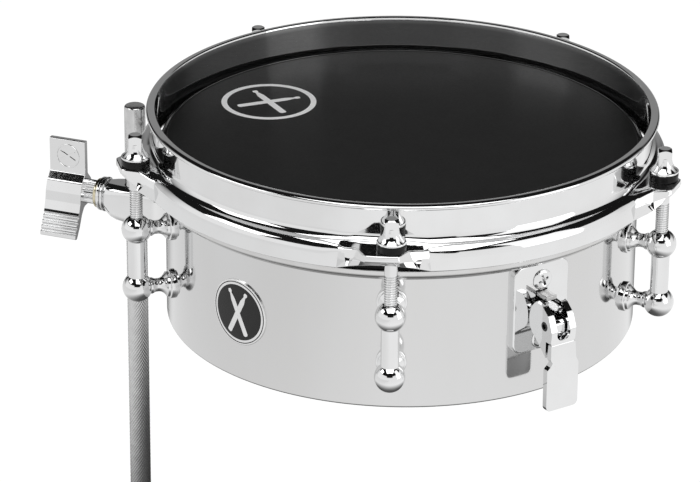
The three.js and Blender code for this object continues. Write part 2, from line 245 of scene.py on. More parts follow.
def grid(rings, closed=False):
    """Faces between rings of vertex numbers; a ring of one is a pole."""
    faces = []
    pairs = list(zip(rings, rings[1:])) + ([(rings[-1], rings[0])] if closed else [])
    for low, high in pairs:
        count = max(len(low), len(high))
        for k in range(count):
            n = (k + 1) % count
            if len(low) == 1:
                faces.append((low[0], high[n], high[k]))
            elif len(high) == 1:
                faces.append((low[k], low[n], high[0]))
            else:
                faces.append((low[k], low[n], high[n], high[k]))
    return faces


def turn(profile, steps=96, about="z", closed=False, at=(0, 0, 0)):
    """Solid of revolution of (radius, height) points."""
    verts, rings = [], []
    for radius, height in profile:
        if radius < 1e-6:
            rings.append([len(verts)])
            verts.append((0, 0, height))
            continue
        rings.append(list(range(len(verts), len(verts) + steps)))
        for k in range(steps):
            a = TAU * k / steps
            verts.append((radius * math.cos(a), radius * math.sin(a), height))
    verts = [Vector(v) + Vector(at) for v in aim(verts, about)]
    return draw(verts, grid(rings, closed))


def prism(outline, low, high, along="y"):
    """Outline extruded along x (outline in y, z), y (in x, z) or z (in x, y)."""
    place = {
        "x": lambda u, v, w: (w, u, v),
        "y": lambda u, v, w: (u, w, v),
        "z": lambda u, v, w: (u, v, w),
    }[along]
    count = len(outline)
    verts = [place(u, v, low) for u, v in outline] + [place(u, v, high) for u, v in outline]
    faces = [tuple(range(count)), tuple(range(count, 2 * count))]
    faces += [(k, (k + 1) % count, (k + 1) % count + count, k + count) for k in range(count)]
    return draw(verts, faces)


def cylinder(radius, low, high, steps=32, about="z", at=(0, 0, 0)):
    """Plain round bar, also the cutter for every bore."""
    return turn([(0, low), (radius, low), (radius, high), (0, high)], steps, about, at=at)


def box(x0, x1, y0, y1, z0, z1):
    return prism([(x0, z0), (x1, z0), (x1, z1), (x0, z1)], y0, y1)


def rounded_rect(y0, y1, z0, z1, radius, steps=6):
    """Outline of a rectangle with round corners."""
    return rounded([(y0, z0, radius), (y1, z0, radius), (y1, z1, radius), (y0, z1, radius)], steps)


def loft(sections):
    """Closed solid through sections, each a list of 3-D points in the same order."""
    verts = [p for section in sections for p in section]
    count = len(sections[0])
    rings = [list(range(i * count, (i + 1) * count)) for i in range(len(sections))]
    faces = grid(rings) + [tuple(rings[0]), tuple(rings[-1])]
    return draw(verts, faces)


def threaded(radius, low, high, pitch, depth, steps=28, rows=8):
    """Right-handed screw thread along z: flat crests, a groove half a pitch wide, rows per pitch."""
    verts, rings = [(0, 0, low)], [[0]]
    count = round((high - low) / pitch * rows)
    for i in range(count + 1):
        z = low + (high - low) * i / count
        fade = min(1, (z - low) / pitch, (high - z) / pitch)
        rings.append(list(range(len(verts), len(verts) + steps)))
        for k in range(steps):
            phase = (z / pitch - k / steps) % 1
            r = radius - depth * fade * max(0, 1 - abs(4 * phase - 2))
            verts.append((r * math.cos(TAU * k / steps), r * math.sin(TAU * k / steps), z))
    rings.append([len(verts)])
    verts.append((0, 0, high))
    return draw(verts, grid(rings))


def finish(obj, name, body, material, replaces=(), angle=None, sharp=38):
    """Names the piece, puts it on its spoke, shades it, hangs it under its body's empty and hides the CAD nodes
    it replaces; sharp is in degrees.
    """
    obj.name = obj.data.name = name
    if angle is not None:
        obj.data.transform(spoke(angle))
    face_outwards(obj)
    obj.data.materials.clear()
    obj.data.materials.append(material)
    obj.data.shade_smooth()
    obj.data.set_sharp_from_angle(angle=math.radians(sharp))
    flat_first = obj.modifiers.new("flat_first", "WEIGHTED_NORMAL")
    flat_first.keep_sharp = True
    settle(obj)
    obj.data.name = name
    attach(obj, body)
    if replaces:
        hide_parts(*replaces)
    return obj


def copy_of(obj):
    """Twin of obj with a mesh of its own."""
    twin = obj.copy()
    twin.data = obj.data.copy()
    bpy.context.scene.collection.objects.link(twin)
    return twin


# ---- materials ----
class Paint:
    """A principled material whose colour, roughness and bump come from noise in object space."""

    def __init__(self, name, metallic=0.0, specular=None, coat=None):
        self.material = bpy.data.materials.new(name)
        self.material.use_nodes = True
        self.nodes = self.material.node_tree.nodes
        self.links = self.material.node_tree.links
        self.shader = self.nodes["Principled BSDF"]
        self.shader.inputs["Metallic"].default_value = metallic
        if specular is not None:
            self.shader.inputs["Specular IOR Level"].default_value = specular
        if coat is not None:
            self.shader.inputs["Coat Weight"].default_value = coat[0]
            self.shader.inputs["Coat Roughness"].default_value = coat[1]
        self.space = self.nodes.new("ShaderNodeTexCoord").outputs["Object"]
        self.bump = None

    def noise(self, scale, detail=2.0, stretch=(1, 1, 1)):
        place = self.nodes.new("ShaderNodeMapping")
        place.inputs["Scale"].default_value = stretch
        self.links.new(self.space, place.inputs["Vector"])
        noise = self.nodes.new("ShaderNodeTexNoise")
        noise.inputs["Scale"].default_value = scale
        noise.inputs["Detail"].default_value = detail
        self.links.new(place.outputs["Vector"], noise.inputs["Vector"])
        return noise.outputs["Fac"]

    def spread(self, value, low, high, source=(0.3, 0.7)):
        ranged = self.nodes.new("ShaderNodeMapRange")
        ranged.inputs["From Min"].default_value, ranged.inputs["From Max"].default_value = source
        ranged.inputs["To Min"].default_value, ranged.inputs["To Max"].default_value = low, high
        self.links.new(value, ranged.inputs["Value"])
        return ranged.outputs["Result"]

    def colour(self, first, second, scale, detail=3.0, stretch=(1, 1, 1)):
        mixed = self.nodes.new("ShaderNodeMix")
        mixed.data_type = "RGBA"
        self.links.new(self.spread(self.noise(scale, detail, stretch), 0, 1), mixed.inputs["Factor"])
        mixed.inputs["A"].default_value = (*first, 1)
        mixed.inputs["B"].default_value = (*second, 1)
        self.links.new(mixed.outputs["Result"], self.shader.inputs["Base Color"])
        return self

    def rough(self, low, high, scale, detail=4.0, stretch=(1, 1, 1)):
        value = self.spread(self.noise(scale, detail, stretch), low, high)
        self.links.new(value, self.shader.inputs["Roughness"])
        return self

    def relief(self, scale, distance, detail=2.0, stretch=(1, 1, 1)):
        """Bumps of that height in metres, on top of any relief before."""
        bump = self.nodes.new("ShaderNodeBump")
        bump.inputs["Strength"].default_value = 1.0
        bump.inputs["Distance"].default_value = distance
        self.links.new(self.noise(scale, detail, stretch), bump.inputs["Height"])
        if self.bump:
            self.links.new(self.bump.outputs["Normal"], bump.inputs["Normal"])
        self.bump = bump
        self.links.new(bump.outputs["Normal"], self.shader.inputs["Normal"])
        return self

    def vector(self, operation, value, constant=None):
        node = self.nodes.new("ShaderNodeVectorMath")
        node.operation = operation
        self.links.new(value, node.inputs[0])
        if constant is not None:
            node.inputs[1].default_value = constant
        return node.outputs

    def radius(self):
        """Distance from the drum's axis, in metres."""
        away = self.vector("SUBTRACT", self.space, AXIS)["Vector"]
        flat = self.vector("MULTIPLY", away, (1, 1, 0))["Vector"]
        return self.vector("LENGTH", flat)["Value"]


def grey(value, warm=0.0):
    """Grey of that brightness, pulled toward red by warm and toward blue where warm is negative."""
    return (value * (1 + warm), value, value * (1 - warm))


CHROME = (
    Paint("chrome", metallic=1).colour(grey(0.76), grey(0.80, -0.004), 55).rough(0.035, 0.075, 700)
    .relief(26, 0.00010).relief(1500, 0.000002).material)
# darker copy of the chrome: painted shade that dims the shell's reflections next to the hoop's
CHROME_SHELL = (
    Paint("chrome_shell", metallic=1).colour(grey(0.655, 0.004), grey(0.69, -0.004), 22, stretch=(1, 1, 0.35))
    .rough(0.05, 0.09, 500, stretch=(1, 1, 0.1)).relief(14, 0.00012, stretch=(1, 1, 0.5))
    .relief(1200, 0.000002).material)
STEEL = (
    Paint("zinc_steel", metallic=1).colour(grey(0.46), grey(0.56, 0.01), 240).rough(0.24, 0.4, 600)
    .relief(900, 0.00001).material)
KNURL = (
    Paint("knurled_steel", metallic=1).colour(grey(0.58), grey(0.66), 300).rough(0.13, 0.24, 800)
    .relief(1400, 0.000006).material)
WIRE = Paint("snare_wire", metallic=1).colour(grey(0.5), grey(0.6), 500).rough(0.15, 0.3, 900).material
BRASS = (
    Paint("pale_brass", metallic=1).colour((0.66, 0.60, 0.42), (0.72, 0.66, 0.50), 260).rough(0.12, 0.24, 900)
    .relief(1200, 0.000004).material)
ALLOY = (
    Paint("polished_alloy", metallic=1).colour(grey(0.62, 0.01), grey(0.67), 60)
    .rough(0.10, 0.18, 300, stretch=(1, 1, 8)).relief(400, 0.000005, stretch=(1, 1, 6)).material)
NYLON = (
    Paint("black_nylon", specular=0.16).colour(grey(0.005), grey(0.009), 300).rough(0.24, 0.38, 700)
    .relief(1500, 0.00001).material)
ENAMEL = (
    Paint("badge_enamel", specular=0.3, coat=(0.12, 0.06)).colour(grey(0.004), grey(0.007), 300)
    .rough(0.2, 0.3, 500).relief(900, 0.000003).material)
SILVER = (
    Paint("badge_silver", metallic=1).colour(grey(0.76), grey(0.84), 400).rough(0.2, 0.3, 900)
    .relief(1500, 0.000004).material)
INK = (
    Paint("white_ink", specular=0.2).colour(grey(0.86), grey(0.92), 500).rough(0.42, 0.55, 900)
    .relief(2500, 0.000004).material)
DARK = Paint("socket_shadow", metallic=1).colour(grey(0.05), grey(0.09), 500).rough(0.3, 0.45, 900).material


def film_material():
    """Satin black film, glossy on the collar outside the bearing edge."""
    bearing_edge = (0.1006, 0.1012)
    film = Paint("drum_film", specular=0.07)
    film.colour(grey(0.0105), grey(0.0125), 90)
    away = film.radius()
    collar = film.spread(away, 0, 1, bearing_edge)
    satin = film.spread(film.noise(1200, 4), 0.34, 0.42)
    rough = film.nodes.new("ShaderNodeMix")
    rough.data_type = "FLOAT"
    film.links.new(collar, rough.inputs["Factor"])
    film.links.new(satin, rough.inputs["A"])
    rough.inputs["B"].default_value = 0.07
    film.links.new(rough.outputs["Result"], film.shader.inputs["Roughness"])
    film.relief(3000, 0.000004).relief(18, 0.00004)
    return film.material


FILM = film_material()


# ---- camera ----
LENS = 194.08
CAMERA_AT = (-21.975, -1495.909, 695.323)
CAMERA_TILT = math.radians(23.974)
CAMERA_ROLL = math.radians(0.5054)


def make_camera():
    """A long lens, 24 degrees above the drum's head, looking along +Y."""
    lens = bpy.data.cameras.new("camera")
    lens.sensor_width = 36
    lens.lens = LENS
    lens.clip_end = 100
    camera = bpy.data.objects.new("camera", lens)
    bpy.context.scene.collection.objects.link(camera)
    back = Vector((0, -math.cos(CAMERA_TILT), math.sin(CAMERA_TILT)))
    flat_up = Vector((0, math.sin(CAMERA_TILT), math.cos(CAMERA_TILT)))
    flat_right = Vector((1, 0, 0))
    right = flat_right * math.cos(CAMERA_ROLL) + flat_up * math.sin(CAMERA_ROLL)
    up = flat_up * math.cos(CAMERA_ROLL) - flat_right * math.sin(CAMERA_ROLL)
    place = Matrix((right, up, back)).transposed().to_4x4()
    place.translation = AXIS + Vector(CAMERA_AT) * MM
    camera.matrix_world = place
    bpy.context.scene.camera = camera


make_camera()


# ---- studio ----
class Sums:
    """Arithmetic nodes in one node tree."""

    def __init__(self, tree):
        self.nodes, self.links = tree.nodes, tree.links

    def calc(self, operation, *values):
        node = self.nodes.new("ShaderNodeMath")
        node.operation = operation
        for socket, value in zip(node.inputs, values):
            if isinstance(value, bpy.types.NodeSocket):
                self.links.new(value, socket)
            else:
                socket.default_value = value
        return node.outputs[0]

    def ramp(self, value, start, end):
        """0 before start and 1 after end, smoothly; start and end may fall instead of rise."""
        node = self.nodes.new("ShaderNodeMapRange")
        node.interpolation_type = "SMOOTHSTEP"
        low, high, first, last = (start, end, 0, 1) if end > start else (end, start, 1, 0)
        node.inputs["From Min"].default_value, node.inputs["From Max"].default_value = low, high
        node.inputs["To Min"].default_value, node.inputs["To Max"].default_value = first, last
        self.links.new(value, node.inputs["Value"])
        return node.outputs["Result"]

    def product(self, first, *others):
        for other in others:
            first = self.calc("MULTIPLY", first, other)
        return first

    def split(self, vector):
        node = self.nodes.new("ShaderNodeSeparateXYZ")
        self.links.new(vector, node.inputs[0])
        return node.outputs

    def camera_ray(self):
        return self.nodes.new("ShaderNodeLightPath").outputs["Is Camera Ray"]


CARD_TOP = 29.0  # degrees above the horizon
CARD_DIP = 9.0  # the cards are this much lower in front of the camera
DIP_EDGE = (25.5, 23)  # degrees to either side of the camera
SIDE_END = (98, 145)  # the side cards fade out between these
BACK_START = (150, 162)  # and a grey card starts behind the drum
CARD_LIGHT = 1.2
BACK_CARD = 0.28
DARK_STUDIO = 0.012


def make_world():
    """White cards up to CARD_TOP degrees, lower at the camera and grey behind the drum; dark above them."""
    world = bpy.data.worlds.new("studio")
    bpy.context.scene.world = world
    world.use_nodes = True
    world.node_tree.nodes.clear()
    sums = Sums(world.node_tree)
    x, y, z = sums.split(sums.nodes.new("ShaderNodeTexCoord").outputs["Generated"])
    height = sums.calc("MULTIPLY", sums.calc("ARCSINE", z), 180 / math.pi)
    side = sums.calc("MULTIPLY", sums.calc("ARCTAN2", x, sums.calc("MULTIPLY", y, -1.0)), 180 / math.pi)
    off = sums.calc("ABSOLUTE", side)
    top = sums.calc("SUBTRACT", CARD_TOP, sums.product(sums.ramp(off, *DIP_EDGE), CARD_DIP))
    card = sums.product(sums.ramp(sums.calc("SUBTRACT", height, top), 0.7, -0.7), CARD_LIGHT)
    round_back = sums.calc("SUBTRACT", 1.0, sums.ramp(off, *SIDE_END))
    round_back = sums.calc("MAXIMUM", round_back, sums.product(sums.ramp(off, *BACK_START), BACK_CARD))
    card = sums.calc("MULTIPLY", card, round_back)
    total = sums.calc("MAXIMUM", card, DARK_STUDIO)
    background = sums.nodes.new("ShaderNodeBackground")
    sums.links.new(sums.calc("MAXIMUM", total, sums.camera_ray()), background.inputs["Strength"])
    output = sums.nodes.new("ShaderNodeOutputWorld")
    sums.links.new(background.outputs[0], output.inputs[0])


make_world()


FLOOR_HALF = 12  # metres
FLOOR_GAP = 0.0005  # keeps the rod's end face clear of the floor


def make_floor():
    """Floor that is white in the picture; in its reflections its glow carries painted shadow, darker under,
    left of and behind the drum.
    """
    bm = bmesh.new()
    bmesh.ops.create_grid(bm, x_segments=8, y_segments=8, size=FLOOR_HALF)
    mesh = bpy.data.meshes.new("floor")
    bm.to_mesh(mesh)
    bm.free()
    floor = bpy.data.objects.new("floor", mesh)
    floor.location = (AXIS.x, AXIS.y, -FLOOR_GAP)
    bpy.context.scene.collection.objects.link(floor)
    material = bpy.data.materials.new("floor")
    material.use_nodes = True
    sums = Sums(material.node_tree)
    space = sums.nodes.new("ShaderNodeTexCoord").outputs["Object"]
    x, y, _ = sums.split(space)
    length = sums.nodes.new("ShaderNodeVectorMath")
    length.operation = "LENGTH"
    sums.links.new(space, length.inputs[0])
    away = length.outputs["Value"]
    bearing_off = sums.calc("ABSOLUTE", sums.calc("ARCTAN2", x, sums.calc("MULTIPLY", y, -1.0)))
    # painted shadow: the floor's glow falls almost to nothing under the drum
    painted_shadow_pool = sums.calc("ADD", 0.05, sums.product(sums.ramp(away, 0.09, 0.36), 0.9))
    # painted shade to the left of the drum
    left = sums.calc("SUBTRACT", 1.0, sums.product(sums.ramp(x, 0.05, -0.5), 0.14))
    # painted shade behind the drum
    behind = sums.calc("SUBTRACT", 1.0, sums.product(sums.ramp(bearing_off, 2.35, 2.75), 0.8))
    # painted bright patch straight behind the drum
    behind = sums.calc("ADD", behind, sums.product(sums.ramp(bearing_off, 2.75, 2.9), 0.6))
    glow_with_painted_shade = sums.product(painted_shadow_pool, left, behind)
    shader = sums.nodes["Principled BSDF"]
    shader.inputs["Base Color"].default_value = (0.12, 0.12, 0.12, 1)
    shader.inputs["Roughness"].default_value = 0.9
    shader.inputs["Specular IOR Level"].default_value = 0.0
    shader.inputs["Emission Color"].default_value = (1, 1, 1, 1)
    sums.links.new(sums.calc("MAXIMUM", glow_with_painted_shade, sums.camera_ray()), shader.inputs["Emission Strength"])
    mesh.materials.append(material)


make_floor()


def softbox(name, centre, across, upright, radiance, toward=(0, 0, 50)):
    """Rectangular lamp of that radiance at centre, turned toward a point; places are from the drum's axis."""
    light = bpy.data.lights.new(name, "AREA")
    light.shape = "RECTANGLE"
    light.size, light.size_y = across * MM, upright * MM
    light.energy = radiance * math.pi * across * upright * MM * MM
    lamp = bpy.data.objects.new(name, light)
    place = Vector(centre)
    facing = (Vector(toward) - place).to_track_quat("-Z", "Y")
    lamp.matrix_world = Matrix.Translation(AXIS + place * MM) @ facing.to_matrix().to_4x4()
    lamp.visible_camera = False
    bpy.context.scene.collection.objects.link(lamp)


def make_lights():
    """One large box above and in front, one tall box at each side."""
    softbox("overhead_box", (8, -235, 405), 372, 350, 2.6, toward=(8, -234, 0))
    softbox("left_box", (-690, -150, 590), 430, 270, 2.6)
    softbox("right_box", (365, -225, 225), 230, 430, 1.25)


make_lights()
bpy.context.scene.view_settings.view_transform = "Standard"


# ---- shell, head and flesh hoop ----
def foot_slot(inner, outer):
    """Cutter for the slot that the slide's foot passes through."""
    half = SLIDE_HALF + SLOT_ROOM
    return box(inner, outer, -half, half, SLOT_LOW, SLOT_HIGH)


def make_shell():
    """Sheet shell with both edges turned in and a slot for the slide's foot."""
    inner = SHELL_R - SHELL_SHEET
    profile = rounded([
        (SHELL_R, 0, 1.1), (97.0, 0, 0.5), (97.0, 1.3, 0.5), (inner, 1.5, 0.8), (inner, 77.5, 0.6),
        (97.6, 77.6, 0.5), (97.6, SHELL_H, 0.5), (100.9, SHELL_H, 0.4), (SHELL_R, 77.9, 0.4)], 5)
    shell = turn(profile, 288, closed=True)
    slot = foot_slot(94, 106)
    slot.data.transform(Matrix.Rotation(STRAINER_AT, 4, "Z"))
    cut(shell, slot)
    finish(shell, "shell_skin", "drum", CHROME_SHELL, ["shell"], angle=0)


def make_head():
    """Film with its step at the bearing edge and its collar down into the flesh hoop."""
    outside = [(0, HEAD_Z), (100.5, HEAD_Z, 0.3), (100.8, HEAD_Z + 0.2, 0.25), (101.4, HEAD_Z + 0.1, 0.5),
               (103.1, 78.9, 2.2), (104.55, 75.8, 1.5), (104.7, 72.2, 1.0), (107.1, 71.4, 0.6),
               (107.4, 64.9, 0.3)]
    inside = [(106.8, 64.9), (106.5, 70.6, 0.6), (103.9, 71.2, 0.8), (103.6, 75.3, 1.5), (102.0, 78.2, 1.6),
              (100.5, 79.2, 0.5), (0, 79.2)]
    profile = rounded(outside + inside, 5, closed=False)
    finish(turn(profile, 256), "head_film", "drum", FILM, ["drum_head"], angle=0)


def make_flesh_hoop():
    """Alloy hoop that holds the film's edge; its lower side shows under the skirt."""
    profile = rounded([
        (103.3, 60.3, 0.4), (106.2, 60.3, 1.2), (108.6, 62.6, 2.6), (108.7, 65.2, 0.5), (107.6, 65.2, 0.2),
        (107.6, 64.6, 0.2), (106.4, 64.6, 0.2), (106.2, 70.2, 0.4), (103.5, 70.2, 0.4)], 4)
    finish(turn(profile, 256, closed=True), "flesh_band", "drum", ALLOY, ["flesh_hoop"], angle=0)


# ---- counter hoop ----
def polar(radius, degrees):
    """x and y at a bearing in degrees."""
    a = math.radians(degrees)
    return radius * math.cos(a), radius * math.sin(a)


def on_bearing(radius, degrees, z):
    """Point of the drum at a bearing in degrees."""
    return Vector((*polar(radius, degrees), z))


def hoop_columns():
    """Columns of the hoop from one ear's middle to half way to the next ear, on the ear's own spoke.

    Each is (bearing, flange corner, reach of its arc, reach of the arc at the wall's foot, knee, lower edge,
    direction inwards). The ear is a flat plate with a curled front edge; its sides run down to a low corner,
    where the skirt starts.
    """
    low_corner = Vector(EAR_CORNER)
    ear = [
        ((EAR_R, 0, EAR_TOP), 0.6, (EAR_R + 0.4, 0, 75.6), (120.3, 0, 72.6), (-1, 0)),
        ((EAR_R, 4.2, EAR_TOP), 0.6, (EAR_R + 0.4, 4.4, 75.6), (120.3, 4.6, 72.6), (-1, 0)),
        ((EAR_R - 0.3, 6.4, EAR_TOP), 0.6, (EAR_R - 0.1, 6.9, 75.5), (120.1, 7.3, 72.3), (-0.8, -0.7)),
        ((EAR_R - 1.9, 7.7, EAR_TOP), 0.7, (EAR_R - 1.6, 8.5, 75.4), (119.6, 9.8, 71.9), (-0.6, -0.9)),
        ((EAR_ROOT_R, 10.2, EAR_TOP), 0.8, (117.3, 11.7, 74.1), low_corner, (-0.7, -0.8)),
        ((114.8, 13.0, 77.3), 1.0, (116.1, 13.3, 73.2), low_corner + Vector((-0.2, 0.2, -0.1)), (-0.8, -0.6)),
        ((112.9, 16.1, 76.4), 1.0, (115.6, 15.4, 73.1), low_corner + Vector((-0.5, 0.7, -0.4)), (-0.8, -0.5)),
    ]
    ear_roll, ear_fillet = 2.0, 2.6
    columns = []
    for top, roll, knee, low, step in ear:
        a = math.degrees(math.atan2(top[1], top[0]))
        columns.append((a, Vector(top), roll, ear_fillet, Vector(knee), Vector(low), step))
    half_gap = 180 / len(LUG_AT)
    plain = 17
    for k in range(plain + 1):
        a = EAR_END + (half_gap - EAR_END) * (k / plain) ** 1.4
        ease = min(1, (a - EAR_END) / 4)
        fold = on_bearing(SKIRT_R, a, FOLD_Z)
        low = on_bearing(SKIRT_R - 0.2, a + 0.6 * (1 - ease), SKIRT_LOW)
        roll = ear_roll + (ROLL_CUT - ear_roll) * ease
        fillet = ear_fillet + (FILLET_CUT - ear_fillet) * ease
        columns.append((a, fold, roll, fillet, fold.lerp(low, 0.5), low, polar(-1, a)))
    return columns


def hoop_section(column):
    """Closed section of the hoop at one column, from the inner foot of its wall over the lip to the skirt."""
    angle, fold, roll, fillet, knee, low, step = column
    upper = [(105.0, 76.6), (105.4, 91.0), (105.6, 93.2)]
    upper += arc((LIP_R - 2.2, LIP_Z - CROWN_R), CROWN_R, 107, 68, 8)
    upper += arc((LIP_R - 0.9, LIP_Z - 1.26), 1.0, 62, -60, 10)
    upper += arc((WALL_TOP + 0.8, LIP_Z - 3.0), 0.8, 110, 180, 4)
    points = [on_bearing(r, angle, z) for r, z in upper]
    foot = on_bearing(WALL_FOOT, angle, FOOT_Z)
    inward = Vector((*step, 0)).normalized() * HOOP_SHEET
    inner_low = low + inward
    inner_fold = fold + inward - Vector((0, 0, HOOP_SHEET))
    points += corner_arc(points[-1], foot, fold, fillet, 7)
    points += corner_arc(foot, fold, knee, roll, 7)
    points += corner_arc(fold, knee, low, 0.9, 4)
    points += corner_arc(knee, low, inner_low, 0.5, 3)
    points += corner_arc(low, inner_low, inner_fold, 0.5, 3)
    return points + [inner_fold]


def make_counter_hoop():
    """Pressed hoop: half an ear and half a gap, mirrored and set round the drum, then the rods' holes."""
    half = [hoop_section(c) for c in hoop_columns()]
    mirror = [[Vector((p.x, -p.y, p.z)) for p in column] for column in half[-2:0:-1]]
    one = mirror + half
    verts, rings = [], []
    for i in LUGS:
        spin = Matrix.Rotation(LUG_AT[i] + EAR_TWIST, 4, "Z")
        for column in one:
            rings.append(list(range(len(verts), len(verts) + len(column))))
            verts += [spin @ p for p in column]
    hoop = draw(verts, grid(rings, closed=True))
    bevel(hoop, 0.3, 2, 28)
    for i in LUGS:
        hole = cylinder(3.4, 62.3, 79.7, 36, at=(TENSION_R, 0, 0))
        hole.data.transform(Matrix.Rotation(LUG_AT[i], 4, "Z"))
        cut(hoop, hole)
    finish(hoop, "rim_hoop", "drum", CHROME, ["counter_hoop"], angle=0, sharp=27)


# ---- lugs, tension rods and their washers ----
def lug_post():
    """Turned post along x with its ball on the circle of the rods."""
    neck_r = 3.5
    flare = [(2.9 + 2.5 * t ** 2.4, 107.9 - 3.6 * t) for t in (0.15, 0.35, 0.55, 0.75, 0.9, 1.0)][::-1]
    profile = [(0, 101.3), (6.4, 101.3)] + arc((5.9, 102.6), 0.5, 0, 90, 4) + [(5.6, 103.3)]
    profile += flare + [(2.9, 107.9), (2.95, 109.3), (3.35, 110.0), (3.6, 110.6), (neck_r, 111.2)]
    start = 180 - math.degrees(math.asin(neck_r / BALL_R))
    ball = [(BALL_R * math.sin(math.radians(a)), TENSION_R + BALL_R * math.cos(math.radians(a)))
            for a in [start - start * k / 20 for k in range(21)]]
    ball[-1] = (0, TENSION_R + BALL_R)
    return turn(profile + ball, 48, about="x")


def make_lugs():
    """Two posts joined by a tube, open at the top for the rod."""
    first = lug_post()
    second = copy_of(first)
    first.data.transform(Matrix.Translation((0, 0, BALL_HIGH)))
    second.data.transform(Matrix.Translation((0, 0, BALL_LOW)))
    tube = cylinder(TUBE_R, BALL_LOW, BALL_HIGH, 48, at=(TENSION_R, 0, 0))
    mouth = turn([(0, 44), (3.0, 44), (3.0, 53.6), (3.8, 55.2), (3.8, 60), (0, 60)], 40, at=(TENSION_R, 0, 0))
    pattern = cut(add(first, second, tube), mouth)
    for i in LUGS:
        finish(copy_of(pattern), f"tube_lug_{i}", "drum", CHROME, [f"lug_{i}"], angle=LUG_AT[i])
    bpy.data.objects.remove(pattern)


def rod_head():
    """Collar, square head and the plain part of the shank, about z."""
    rim = COLLAR_LOW + COLLAR_RIM
    collar = [(0, COLLAR_LOW), (COLLAR_R, COLLAR_LOW, 0.3), (COLLAR_R, rim, 0.4), (5.4, rim)]
    collar = rounded(collar, 4, closed=False)
    collar += [(3.0 + 2.4 * (1 - t) ** 2.3, rim + 5.6 * t) for t in (0.07, 0.16, 0.27, 0.4, 0.55, 0.75, 1.0)]
    collar = turn(collar + [(0, rim + 5.6)], 48)
    square = rounded_rect(-KEY_HALF, KEY_HALF, -KEY_HALF, KEY_HALF, 0.45, 3)
    square = prism(square, COLLAR_LOW + 1, KEY_TOP, along="z")
    dome = [(0, 78), (4.6, 78), (4.6, KEY_TOP - 1.5, 0.3), (2.4, KEY_TOP, 0.6), (0, KEY_TOP)]
    combine(square, turn(rounded(dome, 4, closed=False), 48), "INTERSECT")
    top = COLLAR_LOW + 0.5
    shank = turn([(0, 66.8), (SCREW_R, 67.4), (SCREW_R, top), (0, top)], 32)
    return add(collar, square, shank)


def make_tension_rods():
    """Five rods, each turned so that its square head faces the same way, and their nylon washers."""
    thread = threaded(SCREW_R, 40, 68.2, THREAD_PITCH, THREAD_DEPTH)
    head = rod_head()
    low, high = EAR_TOP + 0.05, COLLAR_LOW - 0.1
    section = rounded([(3.1, low, 0.2), (5.95, low, 0.5), (6.15, high, 0.5), (3.1, high, 0.2)], 4)
    for i in LUGS:
        rod = copy_of(head)
        key = Matrix.Translation((TENSION_R, 0, 0)) @ Matrix.Rotation(-LUG_AT[i], 4, "Z")
        screw = copy_of(thread)
        rod.data.transform(key)
        screw.data.transform(key)
        add(rod, screw)
        node = f"tension_rod_{i}"
        finish(rod, f"tension_screw_{i}", node, CHROME, [node], angle=LUG_AT[i])
        washer = turn(section, 48, closed=True, at=(TENSION_R, 0, 0))
        node = f"nylon_washer_{i}"
        finish(washer, f"black_washer_{i}", f"washer_{i}", NYLON, [node], angle=LUG_AT[i])
    for pattern in (head, thread):
        bpy.data.objects.remove(pattern)


# ---- screws ----
def cross_recess(inner, outer, half, arm):
    """Cutter for a cross recess along x."""
    upright = box(inner, outer, -half, half, -arm, arm)
    level = box(inner, outer, -arm, arm, -half, half)
    return upright, level


def pan_screw(base, outwards, head, height, shank_r, tip):
    """Cross-recess pan screw along x; the head stands on base and points outwards (1) or inwards (-1)."""
    crown = rounded([(0, height), (head * 0.8, height * 0.84, head * 0.55), (head, height * 0.3, head * 0.14),
                     (head, 0, 0.1), (shank_r, 0)], 5, closed=False)
    profile = [(r, base + outwards * h) for r, h in crown] + [(shank_r, tip), (0, tip)]
    screw = turn(profile, 40, about="x")
    mouth = sorted((base - outwards * height * 0.1, base + outwards * (height + 1)))
    return cut(screw, *cross_recess(*mouth, head * 0.13, head * 0.55))


def make_screws():
    """Screws inside the shell for the lugs and the bracket, and two outside on the strainer plate."""
    inside = pan_screw(99.9, -1, 3.9, 2.7, 2.0, 108.8)
    for i in LUGS:
        for part, z in (("upper", BALL_HIGH), ("lower", BALL_LOW)):
            angle, label = LUG_AT[i], f"{part}_{i}"
            screw = copy_of(inside)
            screw.data.transform(Matrix.Translation((0, 0, z)) @ Matrix.Rotation(z + angle, 4, "X"))
            finish(screw, f"inner_screw_{label}", "drum", STEEL, [f"lug_screw_{label}"], angle=angle)
    for label, z in (("upper", 34.0), ("lower", 24.0)):
        screw = copy_of(inside)
        screw.data.transform(Matrix.Translation((0, 0, z)) @ Matrix.Rotation(z, 4, "X"))
        node = f"bracket_screw_{label}"
        finish(screw, f"mount_screw_{label}", "drum", STEEL, [node], angle=MOUNT_AT)
    bpy.data.objects.remove(inside)
    for label, z, spin in (("upper", 52.3, 0.35), ("lower", 25.7, -0.5)):
        screw = pan_screw(104.0, 1, 4.5, 1.1, 2.0, 97.4)
        screw.data.transform(Matrix.Translation((0, 0.2, z)) @ Matrix.Rotation(spin, 4, "X"))
        node = f"strainer_screw_{label}"
        finish(screw, f"plate_screw_{label}", "drum", CHROME, [node], angle=STRAINER_AT)


# ---- printed and fitted marks ----
def stick(length, butt, tip, tilt):
    """Outline of a drumstick through the origin, tilted by tilt degrees."""
    half = length / 2
    side = [(-half, butt * 0.6, butt * 0.3), (-half + 0.8, butt, butt * 0.4), (half * 0.55, butt, 1),
            (half * 0.82, tip * 0.6, 0.5), (half * 0.9, tip * 1.15, 0.4), (half, tip * 0.9, 0.5)]
    outline = rounded(side + [(x, -y, r) for x, y, r in side[::-1]], 3)
    a = math.radians(tilt)
    return [(x * math.cos(a) - y * math.sin(a), x * math.sin(a) + y * math.cos(a)) for x, y in outline]


def crossed_sticks(scale, tilts, low, high):
    """Two crossed drumsticks as one solid between heights low and high."""
    sticks = []
    for tilt in tilts:
        outline = [(x * scale, y * scale) for x, y in stick(29, 1.55, 1.1, tilt)]
        sticks.append(prism(outline, low, high, along="z"))
    return add(*sticks)


